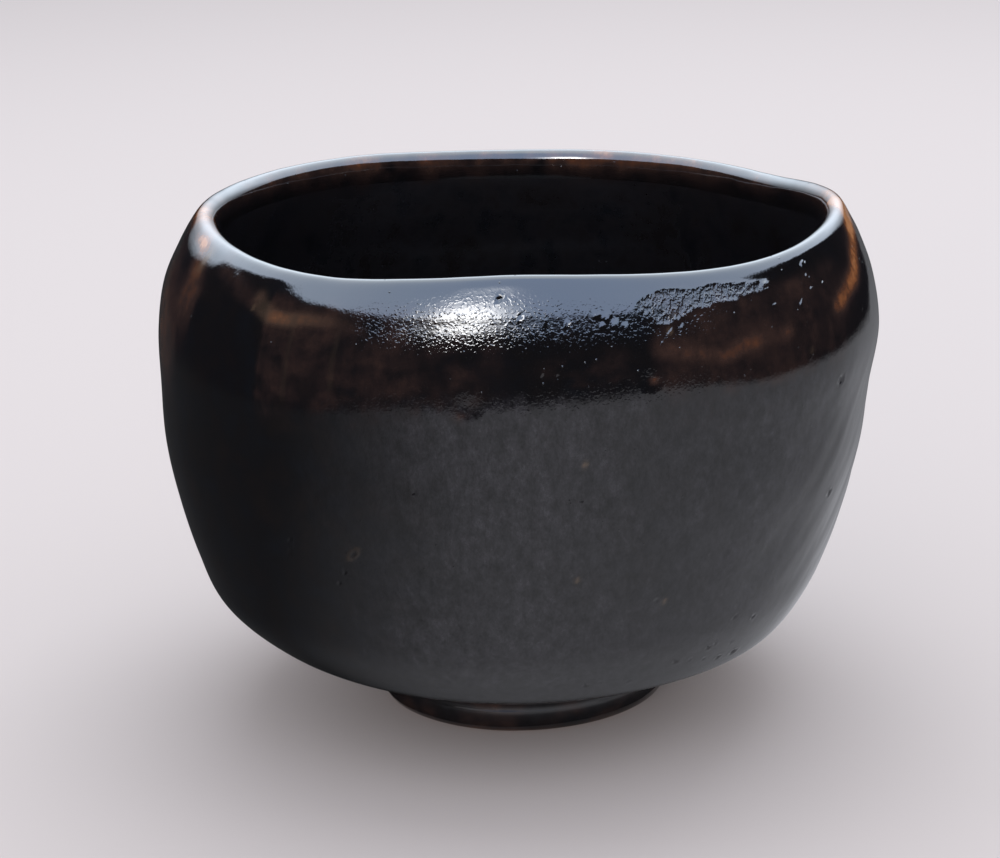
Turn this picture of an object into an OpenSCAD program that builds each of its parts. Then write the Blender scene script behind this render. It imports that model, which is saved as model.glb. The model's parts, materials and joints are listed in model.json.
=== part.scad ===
// Hand-formed tea bowl for whisked green tea.
// A pinched and scraped clay wall with a softly waving lip that leans in,
// a luted and carved foot, and fused coats of black glaze.
// Origin: on the table, under the middle of the bowl. +Z up, -Y the side shown
// to the guest, +X to the right as the guest sees it.

/* [Bowl] */
// Greatest width across the belly, over the glaze
belly_width = 114; // [106:1:122]
// Height of the lip above the table, on average
lip_height = 80.4; // [74:0.2:86]
// Depth of the tea pool pressed into the middle of the floor
pool_depth = 1.2; // [0:0.1:1.8]
// Radius of the tea pool
pool_radius = 13; // [11:0.5:16]

/* [Hand forming] */
// How far the mouth departs from round (0 is a true circle)
mouth_wobble = 1; // [0:0.1:1.4]
// How far the lip rises and falls around the mouth (0 is level)
lip_wave = 1; // [0:0.1:1.4]
// How deep the palm and finger hollows in the outer wall are
hollow_depth = 1; // [0:0.1:1.5]

/* [Glaze] */
// Thickness of the glaze coats on the wall
glaze_coat = 0.6; // [0.4:0.1:0.9]
// Thickness of the glaze coat on the foot
foot_coat = 0.4; // [0.3:0.1:0.6]

/* [Foot] */
// Height of the foot ring
foot_height = 5.8; // [5.2:0.1:6.4]
// Outer radius of the foot ring where it rests, bare clay
foot_radius = 23.2; // [21:0.1:23.4]
// Width of the flat face that the bowl rests on
foot_land = 4.2; // [3:0.1:5]
// Thickness of the clay left across the inside of the foot
foot_web = 0.9; // [0.6:0.1:1.2]
// How far the luted foot sits off the middle of the bowl, to the left
foot_offset = 0.4; // [0:0.1:0.6]

/* [Mesh] */
// Sides around the hand-formed shapes
sides = 60; // [48:6:72]

/* [Hidden] */

// Sizes that the stations below were drawn for
draft_width = 114;
draft_height = 80.4;
draft_foot = 5.8;

// Stations along the glazed profile: [radius, height, sideways lean of the ring]
// from the edge of the foot, up the outside, over the lip, down the inside
// and across the floor to the middle.
STATIONS = [
    [24.6, 5.8, 0], [30.3, 8.1, 0.5], [37.3, 10.8, 0.7], [43.2, 14.1, 0],
    [49, 20.8, -1.4], [52, 28, -1.4], [54.6, 37, -1.2], [56.6, 46, -0.7],
    [57.1, 55, -0.3], [57.4, 62.6, 0.2], [56.2, 69.6, 0.4], [53.9, 75, 0.8],
    [52, 78.3, 1],
    [50.5, 80.2, 1.2], [49, 80.2, 1.3], [48, 78.8, 1.3],
    [48, 75.6, 1.2],
    [49.6, 69, 0.8], [51.2, 62, 0.2], [51.2, 53, -0.3], [50.4, 44, -0.7],
    [48.6, 35, -1], [45.4, 27, -1.1], [40, 20.5, -1], [31.5, 15.6, -0.6],
    [22, 13.2, -0.2],
    [pool_radius + 2, 12.3, 0], [pool_radius - 1, 12.3 - pool_depth, 0],
    [pool_radius / 2, 11.9 - pool_depth, 0],
    [0, 11.8 - pool_depth, 0]];
// Station numbers where one coat ends and the next begins
AT_FOOT = 0;
AT_SHOULDER = 12;
AT_THROAT = 16;
AT_MIDDLE = 29;

// Plan of the mouth: [lobes, cosine part, sine part], as a share of the radius
PLAN = [[2, -0.008, -0.027], [3, -0.011, -0.018], [4, -0.008, -0.005]];
// Height of the lip: [lobes, cosine part, sine part], in millimetres
WAVE = [[1, -0.5, 0], [2, 0.75, -0.6], [3, 0.2, 0.1], [4, 0.45, -0.15], [5, 0.05, -0.4]];
// Soft hollows in the outer wall: [bearing, height, half width in degrees,
// half height, depth]
HOLLOWS = [
    [-128, 40, 15, 24, 0.7], [-62, 34, 18, 20, 0.5], [-12, 49, 14, 7, 0.6],
    [-166, 46, 12, 20, 0.5], [100, 44, 20, 22, 0.7], [44, 34, 18, 20, 0.6]];

function soft(a, b, v) = let (t = max(0, min(1, (v - a) / (b - a)))) t * t * (3 - 2 * t);
function lobes(list, a) = [for (k = list) k[1] * cos(k[0] * a) + k[2] * sin(k[0] * a)]
    * [for (k = list) 1];
function turn(a, b) = let (d = a - b) d - 360 * round(d / 360);
function hollow(a, z) = [for (h = HOLLOWS)
        let (p = turn(a, h[0]) / h[2], q = (z - h[1]) / h[3], s = p * p + q * q)
        s < 4 ? h[4] * pow(1 - s / 4, 2) : 0]
    * [for (h = HOLLOWS) 1];

// Smooth curve through the stations
function curve(a, b, c, d, t) = 0.5 * (2 * b + (c - a) * t
    + (2 * a - 5 * b + 4 * c - d) * t * t + (3 * b - a - 3 * c + d) * t * t * t);
function station(u) = let (
        last = len(STATIONS) - 1,
        i = min(floor(u), last - 1),
        p = curve(STATIONS[max(i - 1, 0)], STATIONS[i], STATIONS[i + 1],
                  STATIONS[min(i + 2, last)], u - i))
    [p[0] * belly_width / draft_width,
     foot_height + (p[1] - draft_foot) * (lip_height - foot_height) / (draft_height - draft_foot),
     p[2]];
// Outward direction of the profile; level at the edge of the foot, upright in the middle
function outward(u) = let (
        last = AT_MIDDLE,
        a = station(max(0, u - 0.02)), b = station(min(last, u + 0.02)),
        d = [b[1] - a[1], a[0] - b[0]],
        w = soft(0, 1, u),
        m = u >= last ? [0, 1] : d / norm(d) * w + [1, 0] * (1 - w))
    m / norm(m);

// One point of a hand-formed surface: station u, bearing a, depth below the glaze
function pt(u, a, depth) = let (
        s = station(u), n = outward(u),
        z0 = s[1],
        w = mouth_wobble * soft(4, 20, z0) * (0.15 + 0.85 * soft(25, 78, z0)),
        wz = lip_wave * soft(40, 80, z0),
        outer = 1 - soft(10, 12, u),
        dent = hollow_depth * outer * hollow(a, z0),
        r = (s[0] - depth * n[0] - dent) * (1 + w * lobes(PLAN, a)))
    [s[2] + r * cos(a), r * sin(a), z0 - depth * n[1] + wz * lobes(WAVE, a)];
function ring(u, depth) = [for (j = [0 : sides - 1]) pt(u, j * 360 / sides, depth)];
function middle(depth) = pt(AT_MIDDLE, 0, depth);

// Faces of the strip between ring k and ring m; turned picks the other diagonal
function strip(k, m, turned) = [for (j = [0 : sides - 1]) let (
        i = (j + 1) % sides,
        a = k * sides + j, b = k * sides + i, c = m * sides + i, d = m * sides + j)
    each (turned ? [[a, d, b], [b, d, c]] : [[a, d, c], [a, c, b]])];
function fan_in(k, tip) = [for (j = [0 : sides - 1])
    [k * sides + j, tip, k * sides + (j + 1) % sides]];
function fan_out(tip, k) = [for (j = [0 : sides - 1])
    [tip, k * sides + j, k * sides + (j + 1) % sides]];
function flat(list) = [for (l = list) each l];

// Stations at which each stretch is cut into rings
U_OUTER = [for (i = [0 : 24]) AT_FOOT + i / 2];
U_LIP = [for (i = [0 : 8]) AT_SHOULDER + i / 2];
U_INNER = [for (i = [0 : 12]) AT_THROAT + i];

// A coat of glaze that runs right round, between two stations
module coat(us) {
    n = len(us);
    rings = concat([for (u = us) ring(u, 0)],
                   [for (i = [n - 1 : -1 : 0]) ring(us[i], glaze_coat)]);
    faces = concat(flat([for (k = [0 : n - 1]) strip(k, k + 1, false)]),
                   flat([for (k = [n : 2 * n - 2]) strip(k, k + 1, true)]),
                   strip(2 * n - 1, 0, true));
    polyhedron(points = flat(rings), faces = faces, convexity = 6);
}

// The clay wall and floor, under all the glaze, with a flat seat for the foot
module clay_body() color([0.10, 0.085, 0.08]) {
    us = concat(U_OUTER, [for (i = [1 : 8]) U_LIP[i]], [for (i = [1 : 12]) U_INNER[i]]);
    n = len(us);
    rings = [for (u = us) ring(u, glaze_coat)];
    tips = [[STATIONS[0][2], 0, foot_height], middle(glaze_coat)];
    faces = concat(fan_out(n * sides, 0),
                   flat([for (k = [0 : n - 2]) strip(k, k + 1, false)]),
                   fan_in(n - 1, n * sides + 1));
    polyhedron(points = concat(flat(rings), tips), faces = faces, convexity = 6);
}

// Black glaze on the outside, from the edge of the foot up to the shoulder of the lip
module outer_glaze() color([0.035, 0.035, 0.04]) coat(U_OUTER);

// Glaze drawn thin and amber over the lip
module lip_glaze() color([0.33, 0.17, 0.07]) coat(U_LIP);

// Black glaze that lines the inside, down to the tea pool
module inner_glaze() color([0.02, 0.02, 0.024]) {
    n = len(U_INNER);
    rings = concat([for (u = U_INNER) ring(u, 0)],
                   [for (i = [n - 1 : -1 : 0]) ring(U_INNER[i], glaze_coat)]);
    tips = [middle(0), middle(glaze_coat)];
    faces = concat(flat([for (k = [0 : n - 2]) strip(k, k + 1, false)]),
                   fan_in(n - 1, 2 * n * sides),
                   fan_out(2 * n * sides + 1, n),
                   flat([for (k = [n : 2 * n - 2]) strip(k, k + 1, true)]),
                   strip(2 * n - 1, 0, true));
    polyhedron(points = concat(flat(rings), tips), faces = faces, convexity = 6);
}

// Foot ring with the web of clay left across it and a small carved boss
foot_top_radius = foot_radius + 0.6;
foot_inner = foot_radius - foot_land - 1.2;
module foot_ring() color([0.15, 0.11, 0.095])
    translate([-foot_offset, 0, 0]) rotate_extrude($fn = 120)
        polygon([
            [0, foot_height], [0, foot_height - foot_web - 1.3], [1.6, foot_height - foot_web - 1.1],
            [4.2, foot_height - foot_web - 0.3], [6, foot_height - foot_web],
            [foot_inner - 0.8, foot_height - foot_web], [foot_inner, foot_height - foot_web - 0.8],
            [foot_inner + 0.5, 0.7], [foot_inner + 1.2, 0],
            [foot_radius - 0.6, 0], [foot_radius, 0.6],
            [foot_top_radius, foot_height]]);

// Glaze round the outside of the foot, and a second coat inside it,
// both stopping short of the bare resting face
module foot_glaze() color([0.03, 0.03, 0.034]) translate([-foot_offset, 0, 0]) {
    rotate_extrude($fn = 120)
        polygon([
            [foot_radius, 0.6], [foot_radius + foot_coat, 0.9],
            [foot_top_radius + foot_coat, foot_height], [foot_top_radius, foot_height]]);
    rotate_extrude($fn = 120)
        polygon([
            [0, foot_height - foot_web - 1.3], [1.6, foot_height - foot_web - 1.1],
            [4.2, foot_height - foot_web - 0.3], [6, foot_height - foot_web],
            [foot_inner - 0.8, foot_height - foot_web], [foot_inner, foot_height - foot_web - 0.8],
            [foot_inner + 0.5, 0.7], [foot_inner + 0.5 - foot_coat, 1],
            [foot_inner - foot_coat, foot_height - foot_web - 1],
            [foot_inner - 0.8 - foot_coat, foot_height - foot_web - foot_coat],
            [6.1, foot_height - foot_web - foot_coat],
            [4.3, foot_height - foot_web - 0.3 - foot_coat],
            [1.7, foot_height - foot_web - 1.1 - foot_coat],
            [0, foot_height - foot_web - 1.3 - foot_coat]]);
}

clay_body();
foot_ring();
outer_glaze();
lip_glaze();
inner_glaze();
foot_glaze();
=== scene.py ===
import bpy, json, math
import numpy as np
from mathutils import Matrix, Vector

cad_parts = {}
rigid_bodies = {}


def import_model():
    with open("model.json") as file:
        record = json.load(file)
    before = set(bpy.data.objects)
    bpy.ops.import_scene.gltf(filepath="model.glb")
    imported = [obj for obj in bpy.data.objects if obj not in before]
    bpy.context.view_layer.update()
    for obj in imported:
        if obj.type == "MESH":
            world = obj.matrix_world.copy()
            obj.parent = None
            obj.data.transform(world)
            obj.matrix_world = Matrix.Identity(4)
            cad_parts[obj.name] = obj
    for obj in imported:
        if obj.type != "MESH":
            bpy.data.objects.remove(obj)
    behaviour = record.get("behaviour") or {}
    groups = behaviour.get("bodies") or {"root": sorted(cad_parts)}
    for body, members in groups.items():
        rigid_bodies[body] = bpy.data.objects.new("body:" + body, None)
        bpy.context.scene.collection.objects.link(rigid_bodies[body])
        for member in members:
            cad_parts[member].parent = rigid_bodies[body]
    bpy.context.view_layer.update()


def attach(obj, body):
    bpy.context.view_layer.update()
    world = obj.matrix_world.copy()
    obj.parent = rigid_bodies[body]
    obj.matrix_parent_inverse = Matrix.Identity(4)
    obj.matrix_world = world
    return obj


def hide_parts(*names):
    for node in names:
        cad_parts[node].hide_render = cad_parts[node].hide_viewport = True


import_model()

MM = 0.001
scene = bpy.context.scene


# ----------------------------------------------------------------------------
# The bowl's mean shape: the same stations and functions as the CAD design
# ----------------------------------------------------------------------------
ST = np.array([
    [24.6, 5.8, 0], [30.3, 8.1, 0.5], [37.3, 10.8, 0.7], [43.2, 14.1, 0],
    [49, 20.8, -1.4], [52, 28, -1.4], [54.6, 37, -1.2], [56.6, 46, -0.7],
    [57.1, 55, -0.3], [57.4, 62.6, 0.2], [56.2, 69.6, 0.4], [53.9, 75, 0.8],
    [52, 78.3, 1],
    [50.5, 80.2, 1.2], [49, 80.2, 1.3], [48, 78.8, 1.3],
    [48, 75.6, 1.2],
    [49.6, 69, 0.8], [51.2, 62, 0.2], [51.2, 53, -0.3], [50.4, 44, -0.7],
    [48.6, 35, -1], [45.4, 27, -1.1], [40, 20.5, -1], [31.5, 15.6, -0.6],
    [22, 13.2, -0.2],
    [15, 12.3, 0], [12, 11.1, 0], [6.5, 10.7, 0], [0, 10.6, 0]])
SHOULDER, THROAT, MIDDLE = 12, 16, 29
PLAN = [(2, -0.008, -0.027), (3, -0.011, -0.018), (4, -0.008, -0.005)]
WAVE = [(1, -0.5, 0), (2, 0.75, -0.6), (3, 0.2, 0.1), (4, 0.45, -0.15), (5, 0.05, -0.4)]
HOLLOWS = [(-128, 40, 15, 24, 0.7), (-62, 34, 18, 20, 0.5), (-12, 49, 14, 7, 0.6),
           (-166, 46, 12, 20, 0.5), (100, 44, 20, 22, 0.7), (44, 34, 18, 20, 0.6)]


def soft(a, b, v):
    t = np.clip((v - a) / (b - a), 0, 1)
    return t * t * (3 - 2 * t)


def station(u):
    u = np.asarray(u, float)
    n = len(ST) - 1
    i = np.clip(np.floor(u).astype(int), 0, n - 1)
    t = (u - i)[..., None]
    a, b, c, d = ST[np.maximum(i - 1, 0)], ST[i], ST[i + 1], ST[np.minimum(i + 2, n)]
    return 0.5 * (2 * b + (c - a) * t + (2 * a - 5 * b + 4 * c - d) * t * t + (3 * b - a - 3 * c + d) * t ** 3)


def lobes(lst, a):
    return sum(c * np.cos(k * a) + s * np.sin(k * a) for k, c, s in lst)


def turn(a, b):
    d = a - b
    return d - 360 * np.round(d / 360)


def hollow(a, z):
    out = 0
    for b, h, w, q, d in HOLLOWS:
        s = (turn(np.degrees(a), b) / w) ** 2 + ((z - h) / q) ** 2
        out = out + np.where(s < 4, d * (1 - np.minimum(s, 4) / 4) ** 2, 0)
    return out


def outward(u):
    """outward direction of the mean profile, in (radius, height)"""
    u = np.asarray(u, float)
    a, b = station(np.clip(u - 0.02, 0, MIDDLE)), station(np.clip(u + 0.02, 0, MIDDLE))
    d = np.stack([b[..., 1] - a[..., 1], a[..., 0] - b[..., 0]], -1)
    d /= np.linalg.norm(d, axis=-1, keepdims=True)
    w = soft(0, 1, u)[..., None]
    m = d * w + np.array([1.0, 0.0]) * (1 - w)
    m = np.where((u >= MIDDLE)[..., None], np.array([0.0, 1.0]), m)
    return m / np.linalg.norm(m, axis=-1, keepdims=True)


def base(u, a, depth=0.0):
    """one point of the mean surface, depth millimetres under the glaze"""
    u, a = np.broadcast_arrays(np.asarray(u, float), np.asarray(a, float))
    s, n = station(u), outward(u)
    r, z, c = s[..., 0], s[..., 1], s[..., 2]
    w = soft(4, 20, z) * (0.15 + 0.85 * soft(25, 78, z))
    wz = soft(40, 80, z)
    dent = (1 - soft(10, 12, u)) * hollow(a, z)
    r = (r - depth * n[..., 0] - dent) * (1 + w * lobes(PLAN, a))
    return np.stack([c + r * np.cos(a), r * np.sin(a), z - depth * n[..., 1] + wz * lobes(WAVE, a)], -1)


# arc length along the profile, so that marks are placed in true millimetres
_UU = np.linspace(0, MIDDLE, 2901)
_SS = station(_UU)
_ARC = np.concatenate([[0], np.cumsum(np.hypot(np.diff(_SS[:, 0]), np.diff(_SS[:, 1])))])


def arc(u):
    return np.interp(u, _UU, _ARC)


# ----------------------------------------------------------------------------
# Smooth noise, the same on every run
# ----------------------------------------------------------------------------
_rs = np.random.RandomState(7)
_PERM = np.tile(_rs.permutation(256), 2)
_G = _rs.normal(size=(256, 3))
_G /= np.linalg.norm(_G, axis=1, keepdims=True)


def noise(P, size, seed=0):
    """gradient noise, about -0.7 to 0.7, with features `size` millimetres across"""
    Q = P / size + np.array([17.3, 5.1, 29.7]) * (seed + 1)
    I = np.floor(Q).astype(int)
    f = Q - I
    w = f * f * f * (f * (f * 6 - 15) + 10)
    out = 0
    for dx in (0, 1):
        wx = w[..., 0] if dx else 1 - w[..., 0]
        for dy in (0, 1):
            wy = w[..., 1] if dy else 1 - w[..., 1]
            for dz in (0, 1):
                wz = w[..., 2] if dz else 1 - w[..., 2]
                h = _PERM[(_PERM[(_PERM[(I[..., 0] + dx) & 255] + I[..., 1] + dy) & 255] + I[..., 2] + dz + seed * 13) & 255]
                g = _G[h]
                d = g[..., 0] * (f[..., 0] - dx) + g[..., 1] * (f[..., 1] - dy) + g[..., 2] * (f[..., 2] - dz)
                out = out + wx * wy * wz * d
    return out


def fbm(P, size, seed=0, octaves=3):
    return sum(noise(P, size / 2 ** k, seed + 11 * k) / 2 ** k for k in range(octaves))


# ----------------------------------------------------------------------------
# Marks in the glaze.  Each is placed by its bearing in degrees and its station
# on the profile; offsets are in millimetres around and up the wall.
# ----------------------------------------------------------------------------
def local(u, a, bearing, u0):
    r = float(station(np.array(u0))[0])
    return np.radians(turn(np.degrees(a), bearing)) * r, arc(u) - float(arc(u0))


def bell(d, w):
    return np.exp(-(d / w) ** 2)


def stroke(u, a, pts, r=54.0):
    """distance in millimetres to a line through (bearing, station) points, and how far along it, 0 to 1"""
    b0 = pts[0][0]
    X, Y = np.radians(turn(np.degrees(a), b0)) * r, arc(u)
    q = [(math.radians(b - b0) * r, float(arc(s))) for b, s in pts]
    best, along = np.full(X.shape, 1e9), np.zeros(X.shape)
    for k in range(len(q) - 1):
        (x0, y0), (x1, y1) = q[k], q[k + 1]
        dx, dy = x1 - x0, y1 - y0
        t = np.clip(((X - x0) * dx + (Y - y0) * dy) / (dx * dx + dy * dy), 0, 1)
        d = np.hypot(X - x0 - t * dx, Y - y0 - t * dy)
        near = d < best
        best = np.where(near, d, best)
        along = np.where(near, (k + t) / (len(q) - 1), along)
    return best, along


# small round holes: bearing, station, radius, depth
PITS = [(-93.8, 11.8, 0.40, 0.22), (-90.5, 11.08, 0.30, 0.14), (-81.2, 7.36, 0.36, 0.24), (-81.8, 6.0, 0.34, 0.20),
        (-67.5, 5.38, 0.34, 0.20), (-37.8, 8.68, 0.70, 0.26), (-32.8, 6.42, 0.60, 0.26),
        (-78.8, 3.40, 0.36, 0.22), (-76.0, 3.44, 0.34, 0.20), (-70.2, 3.36, 0.38, 0.22),
        (-60.8, 3.68, 0.45, 0.24), (-54.0, 3.84, 0.42, 0.22), (-54.0, 3.50, 0.34, 0.18), (-49.8, 3.38, 0.46, 0.24),
        (-45.5, 3.36, 0.66, 0.30), (-52.5, 3.92, 0.34, 0.18), (-50.0, 4.52, 0.34, 0.18), (-44.8, 4.32, 0.36, 0.2),
        (-57.5, 3.62, 0.28, 0.14), (-48.0, 3.75, 0.30, 0.15), (-118.0, 6.0, 0.30, 0.16), (-119.3, 5.76, 0.26, 0.14),
        (-127.7, 6.42, 0.28, 0.15), (-128.2, 6.18, 0.26, 0.14), (-129.0, 5.82, 0.28, 0.15), (-130.0, 5.5, 0.26, 0.14),
        (-139.3, 5.72, 0.30, 0.16), (-105.5, 7.54, 0.28, 0.14), (-141.2, 10.34, 0.24, 0.12), (-138.0, 9.9, 0.22, 0.11),
        (-137.2, 9.28, 0.22, 0.11), (-87.0, 9.7, 0.24, 0.12), (-85.0, 9.68, 0.22, 0.11), (-88.2, 9.46, 0.26, 0.13),
        (-83.5, 10.86, 0.26, 0.14), (-86.8, 10.84, 0.22, 0.12), (-45.0, 10.24, 0.30, 0.16), (-39.2, 11.12, 0.3, 0.16),
        (-45.5, 9.52, 0.26, 0.14), (-49.2, 10.26, 0.26, 0.13), (-53.2, 10.48, 0.24, 0.12)]
for k in range(34):         # the rest of the wall has its own scatter
    b = 8 + 172 * _rs.rand()
    PITS.append((b, 2.5 + 9 * _rs.rand(), 0.3 + 0.3 * _rs.rand() ** 2, 0.15 + 0.12 * _rs.rand()))
# raised bubbles that burst or stayed: bearing, station, radius, height
BLISTERS = [(-51.2, 11.62, 0.80, 0.20), (-50.5, 10.8, 0.75, 0.16), (-45.0, 10.64, 1.05, 0.26),
            (-42.0, 11.98, 0.55, 0.16), (-42.2, 11.45, 0.6, 0.16), (-42.2, 10.98, 0.5, 0.14), (-43.6, 11.25, 0.4, 0.12),
            (-77.6, 11.08, 0.45, 0.10), (-76.4, 10.88, 0.5, 0.10), (-79.0, 11.12, 0.35, 0.08), (-74.9, 10.8, 0.35, 0.08),
            (-78.2, 10.8, 0.3, 0.07), (-105.0, 5.16, 0.8, 0.12),
            (152.0, 10.9, 0.9, 0.20), (149.5, 10.5, 0.6, 0.14), (66.0, 11.2, 0.8, 0.18), (63.7, 10.8, 0.55, 0.14)]
# leaf-shaped patch where the glaze crawled and wrinkled: bearing, lower and upper station
LEAF = np.array([(-73.3, 11.40, 11.42), (-72.3, 11.26, 11.68), (-70.4, 10.88, 11.98), (-68.4, 10.80, 12.14),
                 (-66.0, 11.02, 12.10), (-64.0, 11.20, 12.02), (-60.0, 11.34, 12.24), (-56.0, 11.42, 12.06),
                 (-53.0, 11.46, 11.92), (-50.2, 11.66, 11.70)])


def leaf(u, a, P):
    """inside of the crawled patch, and its hem"""
    deg = np.degrees(a)
    wob = 0.18 * noise(P, 2.6, 16)
    lo = arc(np.interp(deg, LEAF[:, 0], LEAF[:, 1])) + wob
    hi = arc(np.interp(deg, LEAF[:, 0], LEAF[:, 2])) + wob
    y = arc(u)
    d = np.minimum(y - lo, hi - y)              # positive inside
    ends = soft(-73.6, -72.6, deg) * (1 - soft(-51.0, -50.0, deg))
    return soft(-0.15, 0.35, d) * ends, bell(d - 0.05, 0.28) * ends


def thick_left(u, a, P):
    """the thick overlap of glaze on the left of the front"""
    deg = np.degrees(a)
    x = np.radians(turn(deg, -133.5 - 4.0 * soft(10.3, 11.1, u))) * 55.5 + 0.35 * noise(P, 4.0, 18)
    top = 10.97 - 0.22 * (turn(deg, -143.5) / 8) ** 2
    y = arc(u) - arc(np.clip(top, 5, 12)) + 0.2 * noise(P, 3.0, 19)
    left = soft(-152.8, -149.8, deg + 0.8 * noise(P, 5.0, 29))
    return (1 - soft(-0.5, 0.5, x)) * (1 - soft(-0.9, 0.7, y)) * left * soft(7.2, 9.0, u)


def relief(u, a, P):
    """height of the glaze skin over the mean surface, in millimetres"""
    out_side = 1 - soft(11.6, 12.6, u)
    lipw = soft(11.2, 12.6, u) * (1 - soft(15.2, 17, u))
    inside = soft(14.5, 17, u)
    deg = np.degrees(a)
    h = np.zeros_like(P[..., 0])
    # low waves left by the hands and the scraper: mostly upright flats
    V = P * np.array([1.0, 1.0, 0.22])
    h += out_side * soft(1.5, 6, u) * 0.11 * noise(V, 17, 1)
    h += out_side * soft(1.0, 5, u) * (1 - 0.7 * soft(8.6, 9.6, u)) * 0.030 * noise(P * np.array([1, 1, 0.35]), 6.5, 2)
    h += out_side * (0.018 * noise(P, 9, 3) + 0.010 * noise(P, 3.4, 28))
    # a scraped hip with uneven upright facets on the right of the front
    right = bell(turn(deg, -22), 17) + 0.35 * bell(turn(deg, -48), 12)
    ca, sa = np.cos(-0.62 * P[..., 2] / 55), np.sin(-0.62 * P[..., 2] / 55)
    L = np.stack([P[..., 0] * ca - P[..., 1] * sa, P[..., 0] * sa + P[..., 1] * ca, P[..., 2]], -1)
    facets = noise(L * np.array([1, 1, 0.16]), 7.4, 20) + 0.45 * noise(L * np.array([1, 1, 0.24]), 3.8, 22)
    h += out_side * right * soft(3.6, 6.0, u) * (1 - soft(8.0, 9.4, u)) * 0.34 * facets
    # lip: uneven thickness, small nicks and swellings
    h += lipw * (0.16 * noise(P, 13, 4) + 0.05 * noise(P, 4.5, 5))
    # inside: soft pats from shaping
    h += inside * (0.12 * noise(P, 19, 6) + 0.015 * noise(P, 5, 8))
    # fine leathery skin, the part that geometry can carry
    h += (0.0055 + 0.003 * lipw) * noise(P, 2.3, 9)

    # round dent of a burst bubble, and its smaller neighbour
    for b, u0, R, dep in ((-97.8, 9.12, 2.55, 0.12), (-71.8, 9.56, 1.90, 0.12), (118.0, 8.4, 1.9, 0.12)):
        x, y = local(u, a, b, u0)
        d = np.hypot(x, y * 1.04) * (1 + 0.07 * noise(P, 3.0, 12)) / R
        h -= dep * np.exp(-(d * 1.55) ** 2) * (1 + 0.14 * noise(P, 1.1, 14))
        h += 0.016 * bell(d - 1.05, 0.2)
    # faint ripples below the larger one
    x, y = local(u, a, -98.0, 7.86)
    h += 0.10 * bell(x, 2.4) * bell(y, 3.0) * noise(P * np.array([0.6, 0.6, 1.5]), 2.2, 15)
    # crawled patch: raised hem, shallow floor
    m, hem = leaf(u, a, P)
    h += 0.07 * hem * (0.75 + 0.6 * noise(P, 2.0, 26)) - 0.06 * m
    h += m * 0.020 * noise(P * np.array([1.0, 1.0, 0.7]), 1.6, 17)
    # scratches just below the patch
    for pts in ([(-69.9, 10.28), (-68.9, 10.44), (-67.9, 10.68)], [(-66.9, 10.40), (-66.4, 10.72)]):
        d, t = stroke(u, a, pts)
        h += 0.040 * bell(d, 0.24) - 0.02 * bell(d - 0.45, 0.25)
    # blisters
    for b, u0, R, hh in BLISTERS:
        x, y = local(u, a, b, u0)
        d = np.hypot(x, y)
        h += hh * (0.55 * bell(d - R * 0.72, R * 0.34) + 0.25 * bell(d, R))
    # pits with a slight rim
    for b, u0, R, dep in PITS:
        x, y = local(u, a, b, u0)
        d = np.hypot(x, y)
        h += -dep * bell(d, R * 0.8) + 0.14 * dep * bell(d - R * 1.45, R * 0.5)
    # small loop scratched low on the left
    x, y = local(u, a, -115.9, 6.36)
    xx, yy = x * 0.71 + y * 0.71, -x * 0.71 + y * 0.71
    h += 0.05 * bell(np.hypot(xx / 1.15, yy / 0.45) - 1, 0.36) * (np.hypot(xx, yy) < 2.6)
    # edge of the thick overlap on the left of the front, and upright seams beside it
    h += 0.055 * thick_left(u, a, P)
    for b, s0, s1, q in ((-127.7, 9.2, 10.6, 0.02), (-119.3, 9.4, 10.6, 0.008)):
        x, y = local(u, a, b, 9.9)
        h += q * bell(x + 0.3 * noise(P, 4, 27), 0.38) * soft(s0 - 0.3, s0, u) * (1 - soft(s1, s1 + 0.3, u))
    # a fold running down from the lip at the far left, and the run beside it
    d, t = stroke(u, a, [(-151.0, 12.0), (-151.8, 11.2), (-154.8, 10.3), (-157.0, 9.0)], 52)
    h += 0.04 * bell(d, 2.0)
    d, t = stroke(u, a, [(-144.5, 11.7), (-141.5, 11.4), (-138.5, 11.1)], 51)
    h += 0.03 * bell(d, 0.9)
    # creases where the glaze gathered low on the front
    d, t = stroke(u, a, [(-98.9, 5.5), (-98.6, 4.9), (-98.3, 4.38), (-100.8, 3.85), (-105.5, 3.38)], 50)
    h += (0.085 * bell(d, 0.6) - 0.05 * bell(d - 1.3, 0.9)) * bell((t - 0.5) * 2, 1.0)
    d, t = stroke(u, a, [(-103.5, 4.0), (-100.5, 3.55), (-101.5, 3.2), (-107.0, 2.9)], 46)
    h += (0.06 * bell(d, 0.7) - 0.04 * bell(d - 1.3, 0.9)) * bell((t - 0.5) * 2, 1.0)
    # faint shelf across the right of the front, turning down at its end
    d, t = stroke(u, a, [(-73.5, 7.50), (-63.2, 7.34), (-56.5, 7.26), (-53.6, 6.95), (-52.8, 6.44)], 55)
    yl = arc(u) - arc(7.36)
    h += 0.042 * bell(d, 0.8) * np.sin(np.pi * np.clip(t, 0, 1)) ** 0.5 + 0.02 * soft(-1, 1, yl) * bell(yl, 5) * bell(turn(deg, -63), 8)
    return h


def skin(u, a, extra=None):
    """the finished outer face of the glaze, anywhere on the profile"""
    u, a = np.broadcast_arrays(np.asarray(u, float), np.asarray(a, float))
    P = base(u, a)
    h = relief(u, a, P) * soft(0, 0.8, u)
    n2 = outward(u)
    n = np.stack([n2[..., 0] * np.cos(a), n2[..., 0] * np.sin(a), n2[..., 1]], -1)
    return P + n * h[..., None]


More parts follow.
